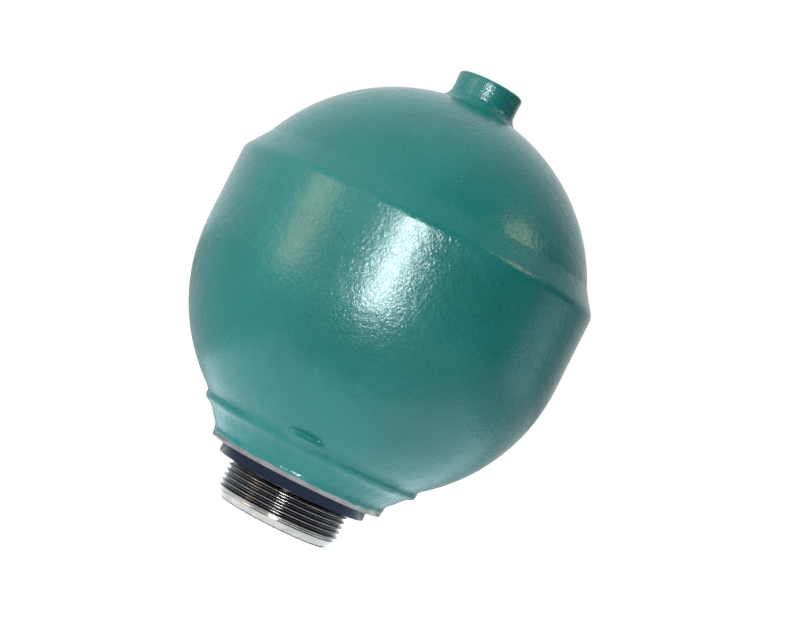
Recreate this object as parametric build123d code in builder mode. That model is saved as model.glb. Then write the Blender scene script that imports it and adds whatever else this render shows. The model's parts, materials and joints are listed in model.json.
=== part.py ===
from build123d import *
from math import atan2, cos, hypot, pi, sin, sqrt
import os

# Screw-in pressure accumulator, in millimetres.
# Z runs from the flat end of the threaded neck, at zero, up to the filler boss.
# A deep bowl has its rim rolled over a pressed cap, and a rubber membrane between
# them parts the gas above from the oil below.

os.makedirs("parts", exist_ok=True)

# Neck, outside, from its flat end upwards
lead_in_radius = 15.4
lead_in_height = 3.0
thread_radius = 17.5
thread_length = 7.8
shoulder_radius = 21.5
shoulder_height = 3.0
collar_radius = 25.2
collar_height = 3.6
spigot_radius = 19.0
neck_edge_chamfer = 0.4

# Neck, inside
bore_radius = 12.0
seat_step = 1.0
port_depth = 7.1
port_edge_fillet = 1.2
mouth_chamfer = 0.6

# Bowl, cap and the rolled joint between them
bowl_radius = 52.1
bowl_wall = 4.2
bowl_skirt_height = 12.1
ledge_width = 2.2
cap_bulge = 2.0
cap_wall = 4.0
cap_skirt_height = 2.2
rim_bend_rise = 0.3
rim_bend_radius = 4.2
rim_edge_thickness = 0.3
rim_tip_rise = 4.2

# Weld between the bowl and the neck
neck_weld_radius = 31.7
neck_weld_drop = 1.5
neck_weld_crown = 0.7
weld_root = 1.2

# Filler boss, its weld, screw and seal
boss_radius = 9.25
boss_height = 7.4
boss_spigot_radius = 6.0
boss_spigot_protrusion = 0.8
boss_edge_fillet = 0.6
boss_weld_leg = 0.9
boss_weld_hollow = 0.2
screw_radius = 4.0
screw_head_radius = 5.8
screw_head_height = 5.0
screw_head_recess = 0.5
screw_length = 4.2
socket_across_flats = 6.0
socket_depth = 4.3
filler_seal_thickness = 1.0

# Membrane, its clamp ring and its button
membrane_thickness = 2.5
membrane_gap = 0.3
pad_thickness = 4.5
bead_height = 4.0
bead_width = 3.6
bead_chamfer = 1.3
clamp_ring_height = 2.5
clamp_lip_width = 1.3
clamp_lip_height = 1.4
button_radius = 14.5
button_thickness = 1.6
button_hub_radius = 3.5
button_hub_height = 1.4
button_edge_fillet = 0.5

# Damper valve
damper_thickness = 5.6
land_height = 0.4
hub_land_radius = 4.4
seat_land_radius = 8.3
seat_land_width = 0.8
passage_radius = 1.0
passage_outer_circle = 9.6
passages_each_way = 4
seal_section_radius = 0.8
seal_groove_width = 2.2
shim_thickness = 0.25
shim_radii = (seat_land_radius, 7.0, 5.8)
backing_washer_radius = 4.6
backing_washer_thickness = 1.0
stud_radius = 2.5
stud_head_radius = 4.5
stud_head_height = 2.0
stud_tip_length = 0.5
bypass_radius = 0.8
bypass_mouth_radius = 1.5
nut_across_flats = 8.0
nut_height = 2.6
nut_chamfer = 0.3

# Retaining ring
ring_thickness = 1.2
ring_width = 1.9
ring_groove_depth = 0.9
ring_gap = 7.0
ring_eye_radius = 0.7
ring_lug_radius = 1.6

# Clearances
fit = 0.05
loose_fit = 0.1

# Heights and radii that follow from the sizes above
shoulder_z = lead_in_height + thread_length
collar_z = shoulder_z + shoulder_height
collar_top_z = collar_z + collar_height
bowl_hole_radius = spigot_radius + fit
bowl_z = collar_top_z + sqrt(bowl_radius**2 - bowl_hole_radius**2)
bowl_inner = bowl_radius - bowl_wall
spigot_top_z = bowl_z - sqrt(bowl_inner**2 - spigot_radius**2)

ledge_z = bowl_z + bowl_skirt_height
counterbore_radius = bowl_inner + ledge_width
bead_top_z = ledge_z + bead_height
cap_foot_z = bead_top_z + clamp_ring_height
cap_skirt_radius = counterbore_radius - loose_fit
cap_skirt_top_z = cap_foot_z + cap_skirt_height
cap_radius = cap_skirt_radius + cap_bulge
cap_z = cap_skirt_top_z - sqrt(cap_radius**2 - cap_skirt_radius**2)
cap_inner = cap_radius - cap_wall

boss_hole_radius = boss_spigot_radius + fit
boss_foot_z = cap_z + sqrt(cap_radius**2 - boss_hole_radius**2)
boss_top_z = boss_foot_z + boss_height
boss_bottom_z = cap_z + sqrt(cap_inner**2 - boss_spigot_radius**2) - boss_spigot_protrusion
screw_top_z = boss_top_z - screw_head_recess
screw_head_z = screw_top_z - screw_head_height
filler_seal_z = screw_head_z - filler_seal_thickness

damper_top_z = spigot_top_z - port_depth
damper_z = damper_top_z - damper_thickness
damper_middle_z = damper_top_z - damper_thickness / 2
port_radius = bore_radius - seat_step
ring_z = damper_z - ring_thickness
ring_groove_radius = bore_radius + ring_groove_depth
shim_stack = len(shim_radii) * shim_thickness
stack_height = land_height + shim_stack + backing_washer_thickness

bead_outer = counterbore_radius - fit
bead_inner = bead_outer - bead_width
membrane_outer = bowl_inner - membrane_gap
membrane_inner = membrane_outer - membrane_thickness
membrane_z = spigot_top_z + membrane_gap
pad_top_z = membrane_z + pad_thickness
button_top_z = membrane_z + button_thickness


def ball_arc(start, end, centre_z):
    """Arc of a ball's outline from start to end, about the ball's centre on the axis."""
    radius = hypot(start[0], start[1] - centre_z)
    first = atan2(start[1] - centre_z, start[0])
    last = atan2(end[1] - centre_z, end[0])
    middle = (first + last) / 2
    ThreePointArc(start, (radius * cos(middle), centre_z + radius * sin(middle)), end)


def bowed_arc(start, end, bow):
    """Arc from start to end whose middle stands off its chord by bow, to the right."""
    chord = Vector(*end) - Vector(*start)
    middle = Vector(*start) + chord / 2 + Vector(chord.Y, -chord.X).normalized() * bow
    ThreePointArc(start, middle, end)


def rings_at(edges, radius, height):
    """The level round edges of one radius at one height."""
    level = edges.filter_by(GeomType.CIRCLE).filter_by_position(Axis.Z, height - fit / 2, height + fit / 2)
    return level.filter_by(lambda edge: abs(edge.radius - radius) < fit / 2)


# Neck, turned in one piece, its thread left as the plain crest cylinder
with BuildPart() as neck:
    with BuildSketch(Plane.XZ):
        with BuildLine():
            Polyline(
                (bore_radius, 0),
                (lead_in_radius, 0),
                (thread_radius, lead_in_height),
                (thread_radius, shoulder_z),
                (shoulder_radius, shoulder_z),
                (shoulder_radius, collar_z),
                (collar_radius, collar_z),
                (collar_radius, collar_top_z),
                (spigot_radius, collar_top_z),
                (spigot_radius, spigot_top_z),
                (port_radius, spigot_top_z),
                (port_radius, damper_top_z),
                (bore_radius, damper_top_z),
                close=True,
            )
        make_face()
    revolve(axis=Axis.Z)
    with BuildSketch(Plane.XY.offset(ring_z - fit)):
        Circle(ring_groove_radius)
    extrude(amount=ring_thickness + fit, mode=Mode.SUBTRACT)
    chamfer(rings_at(neck.edges(), bore_radius, 0), mouth_chamfer)
    chamfer(rings_at(neck.edges(), shoulder_radius, shoulder_z), neck_edge_chamfer)
    chamfer(rings_at(neck.edges(), collar_radius, collar_z), neck_edge_chamfer)
    fillet(rings_at(neck.edges(), port_radius, spigot_top_z), port_edge_fillet)
neck.part.label = "neck"
export_step(neck.part, "parts/neck.step")

# Lower shell, a drawn bowl whose thinned rim is rolled in over the cap
rim_ball = cap_radius + fit
rim_turn_z = cap_z + sqrt(rim_ball**2 - counterbore_radius**2)
rim_corner = (bowl_radius, cap_skirt_top_z + rim_bend_rise)
rim_tip_height = cap_skirt_top_z + rim_tip_rise - cap_z
rim_tip_radius = sqrt(rim_ball**2 - rim_tip_height**2)
rim_tip_share = 1 + rim_edge_thickness / rim_ball
rim_tip_inner = (rim_tip_radius, cap_z + rim_tip_height)
rim_tip_outer = (rim_tip_radius * rim_tip_share, cap_z + rim_tip_height * rim_tip_share)
bowl_hole_outer = (bowl_hole_radius, bowl_z - sqrt(bowl_radius**2 - bowl_hole_radius**2))
bowl_hole_inner = (bowl_hole_radius, bowl_z - sqrt(bowl_inner**2 - bowl_hole_radius**2))
with BuildPart() as lower_shell:
    with BuildSketch(Plane.XZ) as shell_profile:
        with BuildLine():
            ball_arc(bowl_hole_outer, (bowl_radius, bowl_z), bowl_z)
            Polyline((bowl_radius, bowl_z), rim_corner, rim_tip_outer, rim_tip_inner)
            ball_arc(rim_tip_inner, (counterbore_radius, rim_turn_z), cap_z)
            Polyline(
                (counterbore_radius, rim_turn_z),
                (counterbore_radius, ledge_z),
                (bowl_inner, ledge_z),
                (bowl_inner, bowl_z),
            )
            ball_arc((bowl_inner, bowl_z), bowl_hole_inner, bowl_z)
            Line(bowl_hole_inner, bowl_hole_outer)
        make_face()
        fillet(shell_profile.vertices().sort_by_distance(rim_corner)[0], rim_bend_radius)
    revolve(axis=Axis.Z)
lower_shell.part.label = "lower_shell"
export_step(lower_shell.part, "parts/lower_shell.step")

# Upper cap, pressed from sheet, with a short straight foot that fits the rim
cap_hole_outer = (boss_hole_radius, cap_z + sqrt(cap_radius**2 - boss_hole_radius**2))
cap_hole_inner = (boss_hole_radius, cap_z + sqrt(cap_inner**2 - boss_hole_radius**2))
cap_foot_inner = (sqrt(cap_inner**2 - (cap_foot_z - cap_z) ** 2), cap_foot_z)
with BuildPart() as upper_cap:
    with BuildSketch(Plane.XZ):
        with BuildLine():
            ball_arc(cap_hole_outer, (cap_skirt_radius, cap_skirt_top_z), cap_z)
            Polyline(
                (cap_skirt_radius, cap_skirt_top_z),
                (cap_skirt_radius, cap_foot_z),
                cap_foot_inner,
            )
            ball_arc(cap_foot_inner, cap_hole_inner, cap_z)
            Line(cap_hole_inner, cap_hole_outer)
        make_face()
    revolve(axis=Axis.Z)
upper_cap.part.label = "upper_cap"
export_step(upper_cap.part, "parts/upper_cap.step")

# Weld bead that fills the wedge between the collar and the bowl
weld_root_radius = spigot_radius + weld_root
weld_root_outer = (weld_root_radius, bowl_z - sqrt(bowl_radius**2 - weld_root_radius**2))
weld_toe_low = (collar_radius, collar_top_z - neck_weld_drop)
weld_toe_high = (neck_weld_radius, bowl_z - sqrt(bowl_radius**2 - neck_weld_radius**2))
with BuildPart() as neck_weld:
    with BuildSketch(Plane.XZ):
        with BuildLine():
            bowed_arc(weld_toe_low, weld_toe_high, neck_weld_crown)
            ball_arc(weld_toe_high, weld_root_outer, bowl_z)
            Polyline(
                weld_root_outer,
                (weld_root_radius, collar_top_z),
                (collar_radius, collar_top_z),
                weld_toe_low,
            )
        make_face()
    revolve(axis=Axis.Z)
neck_weld.part.label = "neck_weld"
export_step(neck_weld.part, "parts/neck_weld.step")

# Filler boss, with a counterbore for the screw's head and a spigot through the cap
with BuildPart() as filler_boss:
    with BuildSketch(Plane.XZ):
        with BuildLine():
            Polyline(
                (screw_radius + fit, boss_bottom_z),
                (boss_spigot_radius, boss_bottom_z),
                (boss_spigot_radius, boss_foot_z),
                (boss_radius, boss_foot_z),
                (boss_radius, boss_top_z),
                (screw_head_radius + loose_fit, boss_top_z),
                (screw_head_radius + loose_fit, filler_seal_z),
                (screw_radius + fit, filler_seal_z),
                close=True,
            )
        make_face()
    revolve(axis=Axis.Z)
    fillet(rings_at(filler_boss.edges(), boss_radius, boss_top_z), boss_edge_fillet)
filler_boss.part.label = "filler_boss"
export_step(filler_boss.part, "parts/filler_boss.step")

# Weld fillet round the foot of the boss
boss_weld_radius = boss_radius + boss_weld_leg
boss_weld_toe = (boss_weld_radius, cap_z + sqrt(cap_radius**2 - boss_weld_radius**2))
boss_weld_side = (boss_radius, boss_foot_z + boss_weld_leg)
boss_root_radius = boss_hole_radius + weld_root
boss_weld_root = (boss_root_radius, cap_z + sqrt(cap_radius**2 - boss_root_radius**2))
with BuildPart() as boss_weld:
    with BuildSketch(Plane.XZ):
        with BuildLine():
            ball_arc(boss_weld_root, boss_weld_toe, cap_z)
            bowed_arc(boss_weld_toe, boss_weld_side, -boss_weld_hollow)
            Polyline(
                boss_weld_side,
                (boss_radius, boss_foot_z),
                (boss_root_radius, boss_foot_z),
                boss_weld_root,
            )
        make_face()
    revolve(axis=Axis.Z)
boss_weld.part.label = "boss_weld"
export_step(boss_weld.part, "parts/boss_weld.step")

# Filler screw with a hexagon socket, its thread left as the plain crest cylinder
with BuildPart() as filler_screw:
    with BuildSketch(Plane.XY.offset(filler_seal_z - screw_length)):
        Circle(screw_radius - fit)
    extrude(amount=screw_length + filler_seal_thickness)
    chamfer(filler_screw.edges().group_by(Axis.Z)[0], neck_edge_chamfer)
    with BuildSketch(Plane.XY.offset(screw_head_z)):
        Circle(screw_head_radius)
    extrude(amount=screw_head_height)
    chamfer(filler_screw.edges().group_by(Axis.Z)[-1], neck_edge_chamfer)
    with BuildSketch(Plane.XY.offset(screw_top_z)):
        RegularPolygon(socket_across_flats / 2, 6, major_radius=False)
    extrude(amount=-socket_depth, mode=Mode.SUBTRACT)
filler_screw.part.label = "filler_screw"
export_step(filler_screw.part, "parts/filler_screw.step")

# Flat seal under the screw's head
with BuildPart() as filler_seal:
    with BuildSketch(Plane.XY.offset(filler_seal_z)):
        Circle(screw_head_radius)
        Circle(screw_radius + fit, mode=Mode.SUBTRACT)
    extrude(amount=filler_seal_thickness)
filler_seal.part.label = "filler_seal"
export_step(filler_seal.part, "parts/filler_seal.step")

# Membrane, moulded as a deep cup with a clamped bead at its rim and a flat pad below
pad_outer_radius = sqrt(membrane_outer**2 - (bowl_z - membrane_z) ** 2)
pad_inner_radius = sqrt(membrane_inner**2 - (bowl_z - pad_top_z) ** 2)
bead_step_z = bead_top_z - clamp_lip_height - bead_chamfer - membrane_gap
pocket_radius = button_radius + membrane_gap
pocket_top_z = button_top_z + membrane_gap
hub_pocket_radius = button_hub_radius + membrane_gap
hub_pocket_top_z = pocket_top_z + button_hub_height
with BuildPart() as membrane:
    with BuildSketch(Plane.XZ):
        with BuildLine():
            Polyline(
                (0, pad_top_z),
                (0, hub_pocket_top_z),
                (hub_pocket_radius, hub_pocket_top_z),
                (hub_pocket_radius, pocket_top_z),
                (pocket_radius, pocket_top_z),
                (pocket_radius, membrane_z),
                (pad_outer_radius, membrane_z),
            )
            ball_arc((pad_outer_radius, membrane_z), (membrane_outer, bowl_z), bowl_z)
            Polyline(
                (membrane_outer, bowl_z),
                (membrane_outer, ledge_z),
                (bead_outer, ledge_z),
                (bead_outer, bead_top_z),
                (bead_inner, bead_top_z),
                (bead_inner, bead_step_z + bead_chamfer),
                (membrane_inner, bead_step_z),
                (membrane_inner, bowl_z),
            )
            ball_arc((membrane_inner, bowl_z), (pad_inner_radius, pad_top_z), bowl_z)
            Line((pad_inner_radius, pad_top_z), (0, pad_top_z))
        make_face()
    revolve(axis=Axis.Z)
membrane.part.label = "membrane"
export_step(membrane.part, "parts/membrane.step")

# Clamp ring between the bead and the cap's foot, its lip holding the bead outwards
clamp_lip_outer = bead_inner - fit
clamp_ring_inner = clamp_lip_outer - clamp_lip_width
with BuildPart() as clamp_ring:
    with BuildSketch(Plane.XZ):
        with BuildLine():
            Polyline(
                (clamp_ring_inner, bead_top_z - clamp_lip_height),
                (clamp_lip_outer, bead_top_z - clamp_lip_height),
                (clamp_lip_outer, bead_top_z),
                (cap_skirt_radius, bead_top_z),
                (cap_skirt_radius, cap_foot_z),
                (clamp_ring_inner, cap_foot_z),
                close=True,
            )
        make_face()
    revolve(axis=Axis.Z)
    fillet(rings_at(clamp_ring.edges(), clamp_ring_inner, cap_foot_z), button_edge_fillet)
clamp_ring.part.label = "clamp_ring"
export_step(clamp_ring.part, "parts/clamp_ring.step")

# Button that keeps the rubber out of the port, with a hub held in the rubber
with BuildPart() as membrane_button:
    with BuildSketch(Plane.XY.offset(membrane_z)):
        Circle(button_radius)
    extrude(amount=button_thickness)
    fillet(rings_at(membrane_button.edges(), button_radius, button_top_z), button_edge_fillet)
    with BuildSketch(Plane.XY.offset(button_top_z)):
        Circle(button_hub_radius)
    extrude(amount=button_hub_height)
membrane_button.part.label = "membrane_button"
export_step(membrane_button.part, "parts/membrane_button.step")

# Damper body, with raised lands for the shims and slanted passages both ways
body_radius = bore_radius - fit
seal_outer = bore_radius - fit
seal_centre = seal_outer - seal_section_radius
seal_groove_radius = seal_centre - seal_section_radius - fit
seat_land_inner = seat_land_radius - seat_land_width
stud_hole_radius = stud_radius + fit
passage_inner_circle = (hub_land_radius + seat_land_inner) / 2
passage_circle = (passage_inner_circle + passage_outer_circle) / 2
with BuildPart() as damper_body:
    with BuildSketch(Plane.XZ):
        with BuildLine():
            Polyline(
                (stud_hole_radius, damper_z - land_height),
                (seat_land_radius, damper_z - land_height),
                (seat_land_radius, damper_z),
                (body_radius, damper_z),
                (body_radius, damper_middle_z - seal_groove_width / 2),
                (seal_groove_radius, damper_middle_z - seal_groove_width / 2),
                (seal_groove_radius, damper_middle_z + seal_groove_width / 2),
                (body_radius, damper_middle_z + seal_groove_width / 2),
                (body_radius, damper_top_z),
                (seat_land_radius, damper_top_z),
                (seat_land_radius, damper_top_z + land_height),
                (stud_hole_radius, damper_top_z + land_height),
                close=True,
            )
        make_face()
    revolve(axis=Axis.Z)
    for pocket_z in (damper_z - land_height, damper_top_z):
        with BuildSketch(Plane.XY.offset(pocket_z)):
            Circle(seat_land_inner)
            Circle(hub_land_radius, mode=Mode.SUBTRACT)
        extrude(amount=land_height, mode=Mode.SUBTRACT)
    for index in range(2 * passages_each_way):
        turn = index * pi / passages_each_way
        outward = Vector(cos(turn), sin(turn), 0)
        rise = damper_thickness * (1 if index % 2 else -1)
        slant = outward * (passage_outer_circle - passage_inner_circle) + Vector(0, 0, rise)
        middle = outward * passage_circle + Vector(0, 0, damper_middle_z)
        with BuildSketch(Plane(origin=middle, z_dir=slant)):
            Circle(passage_radius)
        extrude(amount=damper_thickness, both=True, mode=Mode.SUBTRACT)
damper_body.part.label = "damper_body"
export_step(damper_body.part, "parts/damper_body.step")

# Seal ring in the damper body's groove
with BuildPart() as damper_seal:
    with BuildSketch(Plane.XZ):
        with Locations((seal_centre, damper_middle_z)):
            Circle(seal_section_radius)
    revolve(axis=Axis.Z)
damper_seal.part.label = "damper_seal"
export_step(damper_seal.part, "parts/damper_seal.step")

# Shims, the widest next to its seat, and a backing washer behind each stack
for side, seat_z, way in (
    ("compression", damper_top_z + land_height, 1),
    ("rebound", damper_z - land_height, -1),
):
    for index, radius in enumerate(shim_radii):
        with BuildPart() as shim:
            with BuildSketch(Plane.XY.offset(seat_z + way * index * shim_thickness)):
                Circle(radius)
                Circle(stud_hole_radius, mode=Mode.SUBTRACT)
            extrude(amount=way * shim_thickness)
        shim.part.label = f"{side}_shim_{index + 1}"
        export_step(shim.part, f"parts/{side}_shim_{index + 1}.step")
    with BuildPart() as backing_washer:
        with BuildSketch(Plane.XY.offset(seat_z + way * shim_stack)):
            Circle(backing_washer_radius)
            Circle(stud_hole_radius, mode=Mode.SUBTRACT)
        extrude(amount=way * backing_washer_thickness)
    backing_washer.part.label = f"{side}_backing_washer"
    export_step(backing_washer.part, f"parts/{side}_backing_washer.step")

# Stud that clamps both stacks, drilled through for the constant bypass
nut_z = damper_top_z + stack_height
stud_head_z = damper_z - stack_height - stud_head_height
stud_tip_z = nut_z + nut_height + stud_tip_length
with BuildPart() as damper_stud:
    with BuildSketch(Plane.XY.offset(stud_head_z)):
        Circle(stud_head_radius)
    extrude(amount=stud_head_height)
    chamfer(rings_at(damper_stud.edges(), stud_head_radius, stud_head_z), neck_edge_chamfer)
    with BuildSketch(Plane.XY.offset(stud_head_z + stud_head_height)):
        Circle(stud_radius)
    extrude(amount=stud_tip_z - stud_head_z - stud_head_height)
    with Locations((0, 0, stud_head_z)):
        Cylinder(
            bypass_radius,
            stud_tip_z - stud_head_z,
            align=(Align.CENTER, Align.CENTER, Align.MIN),
            mode=Mode.SUBTRACT,
        )
    chamfer(rings_at(damper_stud.edges(), bypass_radius, stud_head_z), bypass_mouth_radius - bypass_radius)
damper_stud.part.label = "damper_stud"
export_step(damper_stud.part, "parts/damper_stud.step")

# Nut on the stud's inner end
with BuildPart() as damper_nut:
    with BuildSketch(Plane.XY.offset(nut_z)):
        RegularPolygon(nut_across_flats / 2, 6, major_radius=False)
        Circle(stud_hole_radius, mode=Mode.SUBTRACT)
    extrude(amount=nut_height)
    chamfer(rings_at(damper_nut.edges(), stud_hole_radius, nut_z + nut_height), nut_chamfer)
damper_nut.part.label = "damper_nut"
export_step(damper_nut.part, "parts/damper_nut.step")

# Retaining ring sprung into the neck's groove, open at one side, with two lug eyes
ring_outer = ring_groove_radius - loose_fit
ring_inner = ring_outer - ring_width
lug_circle = ring_outer - ring_lug_radius
lug_turn = (ring_gap / 2 + ring_lug_radius) / lug_circle * 180 / pi
with BuildPart() as retaining_ring:
    with BuildSketch(Plane.XY.offset(ring_z)):
        Circle(ring_outer)
        Circle(ring_inner, mode=Mode.SUBTRACT)
        with Locations((ring_outer, 0)):
            Rectangle(2 * ring_outer - ring_inner, ring_gap, mode=Mode.SUBTRACT)
        with PolarLocations(lug_circle, 2, start_angle=-lug_turn, angular_range=2 * lug_turn, endpoint=True):
            Circle(ring_lug_radius)
            Circle(ring_eye_radius, mode=Mode.SUBTRACT)
    extrude(amount=ring_thickness)
retaining_ring.part.label = "retaining_ring"
export_step(retaining_ring.part, "parts/retaining_ring.step")
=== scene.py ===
"""The looks of a screw-in pressure accumulator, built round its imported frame. Units are metres."""

import json
import math

import bmesh
import bpy
from mathutils import Matrix, Vector, noise


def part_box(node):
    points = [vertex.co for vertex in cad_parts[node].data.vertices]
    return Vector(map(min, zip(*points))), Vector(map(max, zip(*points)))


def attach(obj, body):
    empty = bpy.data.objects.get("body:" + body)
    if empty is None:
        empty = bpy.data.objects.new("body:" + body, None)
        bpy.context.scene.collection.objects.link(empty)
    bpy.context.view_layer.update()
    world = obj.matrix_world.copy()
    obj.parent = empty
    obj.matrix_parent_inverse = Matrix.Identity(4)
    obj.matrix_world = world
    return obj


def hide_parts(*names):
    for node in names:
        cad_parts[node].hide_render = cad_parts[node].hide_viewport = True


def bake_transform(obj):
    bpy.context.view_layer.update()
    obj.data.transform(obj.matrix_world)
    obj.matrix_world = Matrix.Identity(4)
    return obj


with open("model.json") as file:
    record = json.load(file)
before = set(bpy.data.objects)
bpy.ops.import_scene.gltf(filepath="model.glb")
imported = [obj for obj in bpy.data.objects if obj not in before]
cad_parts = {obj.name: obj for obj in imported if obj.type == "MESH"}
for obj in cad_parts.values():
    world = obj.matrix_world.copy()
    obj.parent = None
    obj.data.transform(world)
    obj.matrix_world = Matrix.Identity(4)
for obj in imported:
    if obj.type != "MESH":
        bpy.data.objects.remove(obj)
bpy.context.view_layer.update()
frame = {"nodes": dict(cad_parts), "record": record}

MM = 0.001
HOUSING = "housing"
AROUND = 288

# The photograph's frame and where the object stands in it
PHOTO_WIDTH = 800
FOCAL_PX = 1950
AXIS_LEAN = math.radians(26.7)
CAMERA_DISTANCE = 526 * MM
CAMERA_HEIGHT = 50.8 * MM
AIM_RIGHT = 6.3 * MM
AIM_HEIGHT = 63.7 * MM


def top(node):
    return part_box(node)[1].z


def bottom(node):
    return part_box(node)[0].z


def radius(node):
    low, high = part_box(node)
    return (high.y - low.y) / 2


def ball_radius(r, centre_z, z):
    """Distance from the axis of a ball's surface at a height."""
    return math.sqrt(max(0.0, r * r - (z - centre_z) ** 2))


# Bowl, cap and boss, from the frame, their walls and their fits
BOWL_WALL = 4.2 * MM
CAP_WALL = 4.0 * MM
CAP_BULGE = 2.0 * MM
CAP_SKIRT = 2.2 * MM
BEAD_STACK = 6.5 * MM
RIM_BEND = 4.2 * MM
RIM_RISE = 0.3 * MM
RIM_SLOPE = 36
SPIGOT_R = 19.0 * MM
BOSS_SPIGOT_R = 6.0 * MM
FIT = 0.05 * MM

bowl_r = radius("lower_shell")
bowl_inner = bowl_r - BOWL_WALL
bowl_z = top("neck") + math.sqrt(bowl_inner**2 - SPIGOT_R**2)
cap_skirt_r = radius("upper_cap")
cap_foot_z = bottom("upper_cap")
cap_skirt_z = cap_foot_z + CAP_SKIRT
cap_r = cap_skirt_r + CAP_BULGE
cap_z = cap_skirt_z - math.sqrt(cap_r**2 - cap_skirt_r**2)
cap_inner = cap_r - CAP_WALL
ledge_z = cap_foot_z - BEAD_STACK
rim_tip_z = top("lower_shell")
boss_foot_z = cap_z + ball_radius(cap_r, 0, BOSS_SPIGOT_R + FIT)


# Finishes


class Finish:
    """A node material with short calls for the textures that the finishes need."""

    def __init__(self, name):
        self.material = bpy.data.materials.new(name)
        self.material.use_nodes = True
        self.nodes = self.material.node_tree.nodes
        self.surface = self.nodes["Principled BSDF"]
        self.place = self.nodes.new("ShaderNodeTexCoord").outputs["Object"]

    def link(self, output, target):
        self.material.node_tree.links.new(output, target)

    def stretch(self, x, y, z):
        node = self.nodes.new("ShaderNodeMapping")
        node.inputs["Scale"].default_value = (x, y, z)
        self.link(self.place, node.inputs["Vector"])
        return node.outputs["Vector"]

    def noise(self, scale, detail=3.0, roughness=0.5, along=None):
        node = self.nodes.new("ShaderNodeTexNoise")
        node.inputs["Scale"].default_value = scale
        node.inputs["Detail"].default_value = detail
        node.inputs["Roughness"].default_value = roughness
        self.link(along or self.place, node.inputs["Vector"])
        return node.outputs["Fac"]

    def remap(self, value, low, high, to_low, to_high):
        node = self.nodes.new("ShaderNodeMapRange")
        for socket, number in zip(list(node.inputs)[1:5], (low, high, to_low, to_high)):
            socket.default_value = number
        self.link(value, node.inputs["Value"])
        return node.outputs["Result"]

    def mix(self, factor, first, second):
        node = self.nodes.new("ShaderNodeMix")
        node.data_type = "RGBA"
        self.link(factor, node.inputs[0])
        for socket, colour in ((node.inputs[6], first), (node.inputs[7], second)):
            if isinstance(colour, tuple):
                socket.default_value = (*colour, 1)
            else:
                self.link(colour, socket)
        return node.outputs[2]

    def math(self, operation, first, second):
        node = self.nodes.new("ShaderNodeMath")
        node.operation = operation
        for socket, value in zip(node.inputs, (first, second)):
            if isinstance(value, bpy.types.NodeSocket):
                self.link(value, socket)
            else:
                socket.default_value = value
        return node.outputs["Value"]

    def bump(self, value, distance, under=None):
        node = self.nodes.new("ShaderNodeBump")
        node.inputs["Distance"].default_value = distance
        self.link(value, node.inputs["Height"])
        if under is not None:
            self.link(under, node.inputs["Normal"])
        return node.outputs["Normal"]

    def set(self, **values):
        for name, value in values.items():
            socket = self.surface.inputs[name.replace("_", " ")]
            if isinstance(value, bpy.types.NodeSocket):
                self.link(value, socket)
            else:
                socket.default_value = (*value, 1) if isinstance(value, tuple) else value
        return self.material


def green_paint():
    """Teal enamel over steel: cloudy colour, orange peel, and fine specks that break up its gloss."""
    s = Finish("green_paint")
    clouds = s.remap(s.noise(45, 4.0, 0.55), 0.35, 0.65, 0, 1)
    colour = s.mix(clouds, (0.008, 0.146, 0.132), (0.01, 0.17, 0.156))
    specks = s.remap(s.noise(1500, 2.0, 0.7), 0.58, 0.76, 0, 0.5)
    colour = s.mix(specks, colour, (0.022, 0.22, 0.205))
    sag = s.bump(s.noise(70, 2.0, 0.4), 0.0002)
    peel = s.bump(s.noise(420, 2.0, 0.5), 0.00014, under=sag)
    grit = s.bump(s.noise(1250, 2.0, 0.6), 0.00014, under=peel)
    roughness = s.remap(s.noise(300, 3.0, 0.6), 0.3, 0.7, 0.2, 0.3)
    return s.set(
        Base_Color=colour,
        Roughness=roughness,
        IOR=1.4,
        Coat_Weight=0.2,
        Coat_Roughness=0.2,
        Coat_IOR=1.5,
        Normal=grit,
    )


def steel(name, colour, dark, rough_low, rough_high, patch=160, turned=0.00003):
    """Bare steel with fine rings round the axis and a patchy film of oil."""
    s = Finish(name)
    patches = s.remap(s.noise(patch, 4.0, 0.6), 0.35, 0.7, 0, 1)
    rings = s.noise(1.0, 3.0, 0.6, along=s.stretch(60, 60, 9000))
    roughness = s.remap(s.noise(patch * 4, 3.0, 0.6), 0.3, 0.7, rough_low, rough_high)
    return s.set(
        Base_Color=s.mix(patches, colour, dark),
        Metallic=1.0,
        Roughness=roughness,
        Normal=s.bump(rings, turned),
    )


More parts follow.
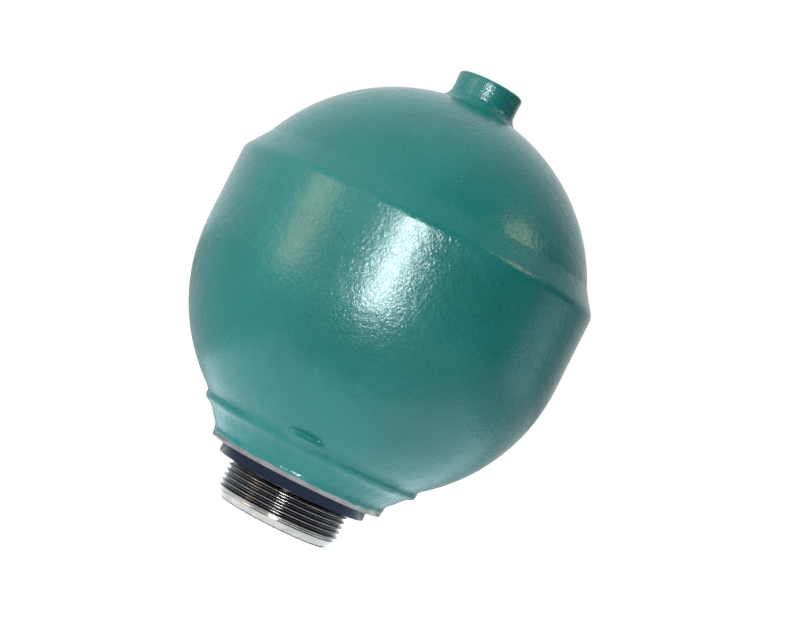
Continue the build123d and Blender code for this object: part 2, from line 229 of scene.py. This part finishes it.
def turned_steel():
    """The neck's steel: oiled and dark, its near-black bluish tone partly a painted dark reflection, with thread
    crests lighter for wear and for painted highlights, painted shade in the grooves, and a bright lead-in that is a
    painted reflection of the floor.
    """
    s = Finish("turned_steel")
    height = s.nodes.new("ShaderNodeSeparateXYZ")
    s.link(s.place, height.inputs["Vector"])
    height = height.outputs["Z"]
    length = s.nodes.new("ShaderNodeVectorMath")
    length.operation = "LENGTH"
    s.link(s.stretch(1, 1, 0), length.inputs[0])
    # Crests lighter and grooves darker: partly worn steel, partly painted highlights on the crests and painted shade
    # in the grooves.
    crest = s.remap(length.outputs["Value"], 0.0169, 0.0174, 0.12, 0.5)
    crest = s.math("MULTIPLY", crest, s.remap(height, 0.0102, 0.0106, 1, 0))
    # Painted reflection: the lead-in's cone is painted pale and warm for the white floor it reflects.
    lead_in = s.remap(height, 0.0026, 0.0034, 0.9, 0)
    collar = s.remap(height, 0.0136, 0.0139, 0, 0.45)
    # Share of the pale colour: worn and bare steel, together with the painted highlights on the crests and the painted
    # floor reflection on the lead-in.
    pale_steel_and_sheen = s.math("MAXIMUM", s.math("MAXIMUM", crest, lead_in), collar)
    pale_steel_and_sheen = s.math("MULTIPLY", pale_steel_and_sheen, s.remap(s.noise(220, 4.0, 0.6), 0.3, 0.6, 0.7, 1))
    rings = s.noise(1.0, 3.0, 0.6, along=s.stretch(60, 60, 9000))
    return s.set(
        # The near-black, bluish colour is an oil film and also a painted dark reflection of the room; the pale warm
        # colour is worn steel and painted sheen.
        Base_Color=s.mix(pale_steel_and_sheen, (0.018, 0.022, 0.035), (0.62, 0.54, 0.49)),
        Metallic=1.0,
        Roughness=s.remap(s.noise(640, 3.0, 0.6), 0.3, 0.7, 0.12, 0.2),
        Normal=s.bump(rings, 0.00001),
    )


def rubber(name, colour, bloom_colour):
    s = Finish(name)
    bloom = s.remap(s.noise(120, 4.0, 0.6), 0.4, 0.75, 0, 1)
    grain = s.bump(s.noise(1500, 3.0, 0.6), 0.00004)
    roughness = s.remap(s.noise(300), 0.3, 0.7, 0.5, 0.7)
    return s.set(Base_Color=s.mix(bloom, colour, bloom_colour), Roughness=roughness, Normal=grain)


finishes = {
    "green_paint": green_paint(),
    "turned_steel": turned_steel(),
    "zinc_steel": steel("zinc_steel", (0.6, 0.61, 0.62), (0.48, 0.49, 0.5), 0.25, 0.4, 300),
    "plain_steel": steel("plain_steel", (0.5, 0.5, 0.51), (0.38, 0.38, 0.39), 0.3, 0.5, 90),
    "spring_steel": steel("spring_steel", (0.42, 0.43, 0.46), (0.3, 0.31, 0.34), 0.2, 0.34, 400),
    "sintered_steel": steel("sintered_steel", (0.26, 0.26, 0.27), (0.16, 0.16, 0.17), 0.42, 0.62, 900),
    "copper": steel("copper", (0.72, 0.36, 0.24), (0.5, 0.24, 0.16), 0.3, 0.45, 300),
    "membrane_rubber": rubber("membrane_rubber", (0.03, 0.03, 0.033), (0.06, 0.06, 0.065)),
    "seal_rubber": rubber("seal_rubber", (0.015, 0.015, 0.015), (0.03, 0.03, 0.03)),
}


# Turned meshes


def make_mesh(name, columns, sharp=32, thread_rows=0, rows_a_turn=0):
    """A mesh from columns of points round the axis, each a closed loop.

    The last column's thread rows meet the first column's one turn higher.
    """
    count, rows = len(columns), len(columns[0])

    def index(i, k):
        if i < count:
            return i * rows + k
        return min(k + rows_a_turn, thread_rows - 1) if k < thread_rows else k

    faces = []
    for i in range(count):
        for k in range(rows):
            n = (k + 1) % rows
            faces.append((index(i, k), index(i + 1, k), index(i + 1, n), index(i, n)))
    bm = bmesh.new()
    points = [bm.verts.new(point) for column in columns for point in column]
    for face in faces:
        if len(set(face)) == len(face):
            bm.faces.new([points[k] for k in face])
    bmesh.ops.remove_doubles(bm, verts=bm.verts, dist=1e-7)
    bmesh.ops.recalc_face_normals(bm, faces=bm.faces)
    for face in bm.faces:
        face.smooth = True
    mesh = bpy.data.meshes.new(name)
    bm.to_mesh(mesh)
    bm.free()
    mesh.set_sharp_from_angle(angle=math.radians(sharp))
    return mesh


def lathe(name, outline, shape=None, around=AROUND, sharp=32):
    """A turned mesh of a closed outline of (r, z), where shape moves a point by its angle."""
    columns = []
    for i in range(around):
        angle = 2 * math.pi * i / around
        loop = [shape(r, z, angle) for r, z in outline] if shape else outline
        columns.append([(r * math.cos(angle), r * math.sin(angle), z) for r, z in loop])
    return make_mesh(name, columns, sharp)


def mm(points):
    return [(r * MM, z * MM) for r, z in points]


def arc(centre, r, start, end, steps):
    """Points of an arc in the (r, z) plane, its angles in degrees up from level."""
    points = []
    for i in range(steps + 1):
        a = math.radians(start + (end - start) * i / steps)
        points.append((centre[0] + r * math.cos(a), centre[1] + r * math.sin(a)))
    return points


def ball(centre_z, r, start, end, steps):
    """Points of a ball's outline between the directions of two points."""
    first, last = (math.degrees(math.atan2(z - centre_z, x)) for x, z in (start, end))
    return arc((0, centre_z), r, first, last, steps)


def bend(points, steps):
    """A curve from the first point to the last that the points between pull to themselves."""
    path = []
    for i in range(steps + 1):
        t = i / steps
        level = [Vector(point) for point in points]
        while len(level) > 1:
            level = [a.lerp(b, t) for a, b in zip(level, level[1:])]
        path.append(tuple(level[0]))
    return path


def wave(angle, z, size, seed):
    """Smooth noise on the ball, from about -1 to 1, with features of the size given."""
    reach = bowl_r / size
    return noise.noise(Vector((reach * math.cos(angle), reach * math.sin(angle), z / size + seed)))


def turn_from(angle, degrees):
    """How far an angle is from a direction given in degrees, in radians from -pi to pi."""
    return (angle - math.radians(degrees) + math.pi) % (2 * math.pi) - math.pi


def smooth(value, low, high):
    t = min(1.0, max(0.0, (value - low) / (high - low)))
    return t * t * (3 - 2 * t)


# Dents: angle in degrees from +X, then height, width and depth in millimetres
DENTS = ((-85.5, 42.3, 2.2, 0.18), (-28, 47, 2.6, 0.2), (-156, 112, 3.0, 0.25), (-97, 35.5, 1.8, 0.1))


def drawn(r, z, angle):
    """A drawn shell isn't quite round, and its paint follows a few knocks."""
    push = 0.035 * MM * wave(angle, z, 16 * MM, 3) + 0.012 * MM * wave(angle, z, 6 * MM, 8)
    for degrees, height, width, depth in DENTS:
        away = math.hypot(turn_from(angle, degrees) * r, z - height * MM) / (width * MM)
        if away < 1:
            push -= depth * MM * (1 - away * away) ** 2
    return push


def bowl():
    """Drawn bowl, a straight wall above it, and a rim rolled in that fades into the cap under paint."""
    counterbore = cap_skirt_r + 2 * FIT
    hole = SPIGOT_R + FIT
    corner = Vector((bowl_r, cap_skirt_z + RIM_RISE))
    tip_z = rim_tip_z + 3.0 * MM
    tip = Vector((ball_radius(cap_r - FIT, cap_z, tip_z), tip_z))
    slope = math.radians(RIM_SLOPE)
    toward_tip = tip - corner
    level = Vector((tip.y - cap_z, -tip.x)).normalized()
    along = Vector((-math.sin(slope), math.cos(slope)))
    reach = toward_tip.cross(level) / along.cross(level)
    crease = corner + along * reach
    turn = slope
    centre = (bowl_r - RIM_BEND, corner.y - RIM_BEND * math.tan(turn / 2))
    outline = arc((0, bowl_z), bowl_r, -math.degrees(math.acos(hole / bowl_r)), 0, 110)
    outline += [(bowl_r, bowl_z + (centre[1] - bowl_z) * t / 16) for t in range(1, 16)]
    outline += arc(centre, RIM_BEND, 0, math.degrees(turn), 14)
    outline += bend([Vector(outline[-1]), crease, tip], 16)[1:]
    outline += ball(cap_z, cap_r - 2 * FIT, tip, (counterbore, cap_skirt_z + RIM_RISE), 8)
    outline += [(counterbore, ledge_z), (bowl_inner, ledge_z)]
    outline += arc((0, bowl_z), bowl_inner, 0, -math.degrees(math.acos(hole / bowl_inner)), 48)

    def shape(r, z, angle):
        if r < counterbore + FIT and z > ledge_z or math.hypot(r, z - bowl_z) < bowl_r - 1 * MM:
            return r, z
        return r + drawn(r, z, angle), z

    return lathe("bowl_shell", outline, shape)


def cap():
    """Pressed cap, whose foot is out of sight inside the rim."""
    hole = BOSS_SPIGOT_R + FIT
    crown, inner_crown = ((hole, cap_z + ball_radius(r, 0, hole)) for r in (cap_r, cap_inner))
    foot = (ball_radius(cap_inner, cap_z, cap_foot_z), cap_foot_z)
    outline = ball(cap_z, cap_r, (cap_skirt_r, cap_skirt_z), crown, 96)
    outline += ball(cap_z, cap_inner, inner_crown, foot, 48)
    outline += [(cap_skirt_r, cap_foot_z)]

    def shape(r, z, angle):
        if math.hypot(r, z - cap_z) < cap_r - 1 * MM:
            return r, z
        share = smooth(z, rim_tip_z, rim_tip_z + 8 * MM) * smooth(r, 8 * MM, 14 * MM)
        return r + share * drawn(r, z, angle), z

    return lathe("cap_shell", outline, shape)


# Neck: its sizes, and its outline as (radius, height), in millimetres
LEAD_IN_R, LEAD_IN_HEIGHT = 15.4, 3.0
THREAD_R, THREAD_DEPTH, PITCH = 17.5, 0.92, 1.5
THREAD_END_Z, RUN_OUT = 10.55, 0.7
# Where the groove first cuts the lead-in: height, and direction in degrees from +X
THREAD_START_Z, THREAD_START = 2.45, 270
NECK_OUTSIDE = (
    (17.5, 10.8), (21.15, 10.8), (21.4, 10.9), (21.5, 11.15), (21.5, 13.6), (21.55, 13.8), (24.7, 13.8),
    (25.05, 13.9), (25.2, 14.25), (25.2, 17.4), (19.0, 17.4), (19.0, 21.92), (12.2, 21.92),
)
PORT_EDGE = arc((12.2, 20.72), 1.2, 90, 180, 6)
NECK_INSIDE = (
    (11.0, 14.82), (12.0, 14.82), (12.0, 9.27), (12.9, 9.27), (12.9, 7.97), (12.0, 7.97), (12.0, 0.6), (12.6, 0),
)
# One turn of the groove: place along the pitch from its middle, and share of the full depth
GROOVE = (
    (-0.5, 0), (-0.455, 0), (-0.425, 0.04), (-0.27, 0.5), (-0.12, 0.94), (-0.06, 1),
    (0.06, 1), (0.12, 0.94), (0.27, 0.5), (0.425, 0.04), (0.455, 0),
)


def slit(angle, z):
    """Depth of the short tool mark across the lead-in at the front, deepest at its right end."""
    along = turn_from(angle, -90) * 16.5
    across = (z - 1.45) / 0.45
    if not -3.2 < along < 1.6 or abs(across) > 1:
        return 0
    return 0.15 * (1 - across * across) * min((along + 3.2) / 3, (1.6 - along) / 0.5, 1)


def neck():
    """Turned neck with a right-hand thread that starts on the lead-in and dies out under the shoulder."""
    turns = range(-2, math.ceil(THREAD_END_Z / PITCH) + 2)
    columns = []
    for i in range(AROUND):
        share = i / AROUND
        angle = 2 * math.pi * share
        rise = THREAD_START_Z + PITCH * (share - THREAD_START / 360)
        loop = []
        for turn in turns:
            for along, depth in GROOVE:
                z = min(max(rise + PITCH * (turn + along), 0), THREAD_END_Z)
                depth *= THREAD_DEPTH * min(1, (THREAD_END_Z - z) / RUN_OUT)
                outside = LEAD_IN_R + (THREAD_R - LEAD_IN_R) * min(1, z / LEAD_IN_HEIGHT)
                outside -= slit(angle, z)
                loop.append((min(outside, THREAD_R - depth), z))
        loop += [*NECK_OUTSIDE, *PORT_EDGE[1:], *NECK_INSIDE]
        columns.append([(r * math.cos(angle), r * math.sin(angle), z) for r, z in mm(loop)])
    return make_mesh("neck_turned", columns, 32, len(turns) * len(GROOVE), len(GROOVE))


# Weld bead under paint: radius and height in millimetres, and share of its upper ridge
BEAD = (
    (25.2, 15.1, 0), (25.33, 15.2, 0), (25.38, 15.55, 0), (25.38, 16.0, 0), (25.42, 16.5, 0),
    (25.75, 17.15, 0), (26.35, 17.85, 0), (27.1, 18.65, 0), (27.8, 19.5, 0), (28.4, 20.2, 0.05),
    (29.0, 20.85, 0.15), (29.6, 21.45, 0.35), (30.25, 22.0, 0.7), (30.65, 22.55, 0.95), (30.75, 23.15, 1),
    (30.8, 23.75, 0.95), (31.0, 24.25, 0.7), (31.7, 24.75, 0.4), (32.3, 25.25, 0.2), (32.9, 25.75, 0.1),
    (33.45, 26.2, 0.05), (34.0, 26.7, 0), (34.6, 27.3, 0),
)
BEAD_EDGE = 3
BEAD_HIDDEN = ((33.6, 27.3), (24.0, 20.2), (20.3, 18.0), (20.3, 17.45), (24.9, 17.3), (24.9, 15.3))
# Lumps on the ridge: angle in degrees from +X, half width in degrees, height in millimetres
LUMPS = (
    (-118, 8, 0.35), (-140, 7, 0.4), (-66, 6, 0.35), (-40, 9, 0.45), (-12, 8, 0.3), (20, 8, 0.35),
    (55, 9, 0.3), (95, 8, 0.5), (130, 7, 0.35), (165, 8, 0.4),
)
# Drops above the ridge: angle, half width in degrees, then height, half height and depth in millimetres
DROPS = ((-93.3, 9, 25.0, 1.05, 2.5), (-74, 5, 25.6, 0.8, 0.5), (60, 7, 25.3, 0.9, 0.9))


def neck_bead():
    """Weld between bowl and collar, with an uneven ridge, and the paint's drips below it."""
    columns = []
    for i in range(AROUND):
        angle = 2 * math.pi * i / AROUND
        ridge = 0.85 + 0.2 * wave(angle, 0, 9 * MM, 5) + 0.12 * wave(angle, 0, 5 * MM, 21)
        for degrees, half, lump in LUMPS:
            away = math.degrees(turn_from(angle, degrees)) / half
            ridge += lump * math.exp(-1.5 * away * away)
        drip = 0.35 * wave(angle, 0, 7 * MM, 40) + 0.12 * wave(angle, 0, 2 * MM, 44)
        loop = []
        for k, (r, z, share) in enumerate(BEAD):
            if k < BEAD_EDGE:
                z += drip
            elif k < len(BEAD) - 2:
                for degrees, half, height, half_height, depth in DROPS:
                    away = (math.degrees(turn_from(angle, degrees)) / half) ** 2
                    r += depth * math.exp(-away * away - ((z - height) / half_height) ** 2)
                r += 0.16 * wave(angle, z * MM, 3.5 * MM, 60) + 0.1 * wave(angle, z * MM, 7 * MM, 70)
            loop.append((r + 0.8 * share * ridge, z - 0.15 * share * ridge))
        columns.append([(r * math.cos(angle), r * math.sin(angle), z) for r, z in mm(loop + list(BEAD_HIDDEN))])
    return make_mesh("neck_bead", columns, 60)


def boss():
    """Turned boss, thick with paint at its top edge, bored for the screw's head."""
    foot, crown, r = boss_foot_z, top("filler_boss"), radius("filler_boss")
    bore, drill, seat, end = 5.9 * MM, 4.05 * MM, bottom("filler_seal"), bottom("filler_boss")
    edge, mouth = 0.66 * MM, 0.35 * MM
    outline = [(r - 0.3 * MM, foot - 1.2 * MM), (r, foot - 0.6 * MM)]
    for bulge, share in ((0.02, 0.3), (-0.04, 0.5), (0.0, 0.7), (0.06, 0.85)):
        outline.append((r + bulge * MM, foot + share * (crown - foot)))
    outline += arc((r + 0.04 * MM - edge, crown - edge), edge, 0, 90, 7)
    outline += arc((bore + mouth, crown - mouth), mouth, 90, 180, 4)
    outline += [(bore, seat), (drill, seat), (drill, end), (BOSS_SPIGOT_R, end), (BOSS_SPIGOT_R, foot - 1.2 * MM)]

    def shape(x, z, angle):
        return (x + 0.05 * MM * wave(angle, z, 5 * MM, 90), z) if x > r - edge else (x, z)

    return lathe("boss_turned", outline, shape, 160)


def boss_bead():
    """Small weld at the boss's foot, drowned in paint."""
    foot, r = boss_foot_z, radius("filler_boss")
    low_r = r + 2.0 * MM
    low = (low_r, cap_z + ball_radius(cap_r, 0, low_r) - 0.02 * MM)
    outline = bend([low, (r + 0.75 * MM, foot), (r + 0.3 * MM, foot + 0.5 * MM), (r - 0.02 * MM, foot + 1.9 * MM)], 12)
    outline += [(r - 0.5 * MM, foot + 1.4 * MM), (r - 1.5 * MM, foot - 0.9 * MM)]

    def shape(x, z, angle):
        if x < r + 0.1 * MM:
            return x, z
        return x + 0.22 * MM * wave(angle, z, 4 * MM, 33), z + 0.06 * MM * wave(angle, z, 3 * MM, 35)

    return lathe("boss_bead", outline, shape, 160, 60)


def membrane():
    """Rubber cup at rest over the port, with its clamped bead above."""
    low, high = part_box("membrane")
    outer, inner, pad_z = bowl_inner - 0.3 * MM, bowl_inner - 2.8 * MM, low.z + 4.5 * MM
    bead_r, bead_inner, round_off = radius("membrane"), radius("membrane") - 3.6 * MM, 1.3 * MM
    floor_r, pad_r = ball_radius(outer, bowl_z, low.z), ball_radius(inner, bowl_z, pad_z)
    outline = ball(bowl_z, outer, (floor_r, low.z - bowl_z + bowl_z), (outer, bowl_z), 40)
    outline += [(outer, bowl_z + t / 6 * (ledge_z - bowl_z)) for t in range(1, 7)]
    outline += [(bead_r, ledge_z), (bead_r, high.z)]
    outline += [(bead_inner + round_off, high.z), (bead_inner, high.z - round_off)]
    outline += [(inner, ledge_z - round_off)]
    outline += ball(bowl_z, inner, (inner, bowl_z), (pad_r, pad_z), 40)
    outline += [(pad_r * share, pad_z) for share in (0.75, 0.5, 0.25, 0)]
    outline += [(floor_r * share, low.z) for share in (0, 0.25, 0.5, 0.75)]
    return lathe("membrane_skin", outline, None, 96)


def piece(mesh, slot, stands_for, body=HOUSING):
    obj = bpy.data.objects.new(mesh.name, mesh)
    bpy.context.scene.collection.objects.link(obj)
    mesh.materials.append(finishes[slot])
    if body:
        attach(obj, body)
    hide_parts(stands_for)
    return obj


piece(bowl(), "green_paint", "lower_shell")
piece(cap(), "green_paint", "upper_cap")
piece(neck(), "turned_steel", "neck")
piece(neck_bead(), "green_paint", "neck_weld")
piece(boss(), "green_paint", "filler_boss")
piece(boss_bead(), "green_paint", "boss_weld")
skin = piece(membrane(), "membrane_rubber", "membrane", body=None)
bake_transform(skin)

slots = {row["node"]: row["material_slot"] for row in frame["record"]["subparts"]}
for name, obj in frame["nodes"].items():
    obj.data.materials.clear()
    obj.data.materials.append(finishes[slots[name]])


# Floor, world, lamps and camera


def floor():
    side, glow = 3.0, 0.73
    mesh = bpy.data.meshes.new("floor")
    mesh.from_pydata([(-side, -side, 0), (side, -side, 0), (side, side, 0), (-side, side, 0)], [], [(0, 1, 2, 3)])
    obj = bpy.data.objects.new("floor", mesh)
    bpy.context.scene.collection.objects.link(obj)
    s = Finish("white_floor")
    seen = s.nodes.new("ShaderNodeLightPath").outputs["Is Camera Ray"]
    s.set(
        Base_Color=(0.5, 0.5, 0.5),
        Roughness=0.9,
        Specular_IOR_Level=0.0,
        Emission_Color=(1.0, 1.0, 1.0),
        Emission_Strength=s.remap(seen, 0, 1, 0, glow),
    )
    mesh.materials.append(s.material)


def studio():
    """White to the eye; to the object, white at its back and left and dim behind the camera."""
    world = bpy.data.worlds.new("studio")
    bpy.context.scene.world = world
    world.use_nodes = True
    nodes, link = world.node_tree.nodes, world.node_tree.links.new
    room, white = nodes["Background"], nodes.new("ShaderNodeBackground")
    toward = nodes.new("ShaderNodeVectorMath")
    toward.operation = "DOT_PRODUCT"
    toward.inputs[1].default_value = Vector((-0.75, 0.6, 0.3)).normalized()
    link(nodes.new("ShaderNodeTexCoord").outputs["Generated"], toward.inputs[0])
    shade = nodes.new("ShaderNodeMapRange")
    shade.interpolation_type = "SMOOTHSTEP"
    for socket, number in zip(list(shade.inputs)[1:5], (-0.5, 0.7, 0.05, 1.0)):
        socket.default_value = number
    link(toward.outputs["Value"], shade.inputs["Value"])
    room.inputs["Color"].default_value = (0.93, 0.98, 1.0, 1)
    link(shade.outputs["Result"], room.inputs["Strength"])
    white.inputs["Color"].default_value = (1, 1, 1, 1)
    paths, seen, both = (nodes.new(f"ShaderNode{kind}") for kind in ("LightPath", "Math", "MixShader"))
    seen.operation = "MAXIMUM"
    link(paths.outputs["Is Camera Ray"], seen.inputs[0])
    link(paths.outputs["Is Transmission Ray"], seen.inputs[1])
    link(seen.outputs["Value"], both.inputs[0])
    link(room.outputs[0], both.inputs[1])
    link(white.outputs[0], both.inputs[2])
    link(both.outputs[0], nodes["World Output"].inputs["Surface"])


def lamp(name, azimuth, elevation, distance, width, height, radiance, colour=(1, 1, 1), soft=False):
    """An area lamp that faces the ball. Azimuth is in degrees to the right of the camera's side."""
    turn, rise = math.radians(azimuth), math.radians(elevation)
    toward = Vector((math.sin(turn) * math.cos(rise), -math.cos(turn) * math.cos(rise), math.sin(rise)))
    data = bpy.data.lights.new(name, "AREA")
    data.shape = "RECTANGLE"
    data.size, data.size_y = width, height
    data.energy = radiance * math.pi * width * height
    data.color = colour
    obj = bpy.data.objects.new(name, data)
    obj.location = Vector((0, 0, bowl_z)) + toward * distance
    obj.rotation_euler = toward.to_track_quat("Z", "Y").to_euler()
    obj.visible_camera = False
    obj.visible_diffuse = soft
    obj.visible_glossy = not soft
    bpy.context.scene.collection.objects.link(obj)


def bounce():
    """The white table's light on the underside, bluish and stronger at the right."""
    data = bpy.data.lights.new("bounce", "AREA")
    data.shape = "RECTANGLE"
    data.size, data.size_y = 0.21, 0.13
    data.energy = 1.15 * math.pi * data.size * data.size_y
    data.color = (0.7, 0.9, 1.0)
    obj = bpy.data.objects.new("bounce", data)
    obj.location = (0.035, -0.012, 0.0003)
    obj.rotation_euler = (math.pi, 0, 0)
    obj.visible_camera = False
    bpy.context.scene.collection.objects.link(obj)


def camera():
    """The object stands upright in its frame, so the camera is rolled by the lean in the photograph."""
    eye = Vector((0, -CAMERA_DISTANCE, CAMERA_HEIGHT))
    forward = (Vector((AIM_RIGHT, 0, AIM_HEIGHT)) - eye).normalized()
    level_right = forward.cross(Vector((0, 0, 1))).normalized()
    level_up = level_right.cross(forward)
    right = level_right * math.cos(AXIS_LEAN) + level_up * math.sin(AXIS_LEAN)
    up = level_up * math.cos(AXIS_LEAN) - level_right * math.sin(AXIS_LEAN)
    data = bpy.data.cameras.new("camera")
    data.sensor_width = 36
    data.lens = 36 * FOCAL_PX / PHOTO_WIDTH
    data.clip_start = 0.01
    obj = bpy.data.objects.new("camera", data)
    obj.matrix_world = Matrix.Translation(eye) @ Matrix((right, up, -forward)).transposed().to_4x4()
    bpy.context.scene.collection.objects.link(obj)
    bpy.context.scene.camera = obj


floor()
studio()
lamp("window", -3.5, 3, 0.62, 0.14, 0.2, 50, (0.97, 1.0, 1.0))
lamp("warm_left", -60, 2, 0.6, 0.17, 0.28, 6.0, (1.0, 0.75, 0.45))
lamp("warm_top", 74, 43, 0.6, 0.16, 0.16, 6.0, (1.0, 0.86, 0.6))
lamp("cool_right", 100, -2, 0.6, 0.3, 0.25, 1.2, (0.7, 0.9, 1.0))
lamp("soft_key", -36, 18, 0.9, 0.6, 0.6, 5.6, soft=True)
lamp("soft_fill", 25, 22, 1.0, 0.6, 0.6, 2.0, (0.8, 0.98, 1.0), soft=True)
lamp("soft_back", 160, 35, 0.9, 0.6, 0.6, 3.5, soft=True)
bounce()
camera()
bpy.context.scene.view_settings.view_transform = "Standard"
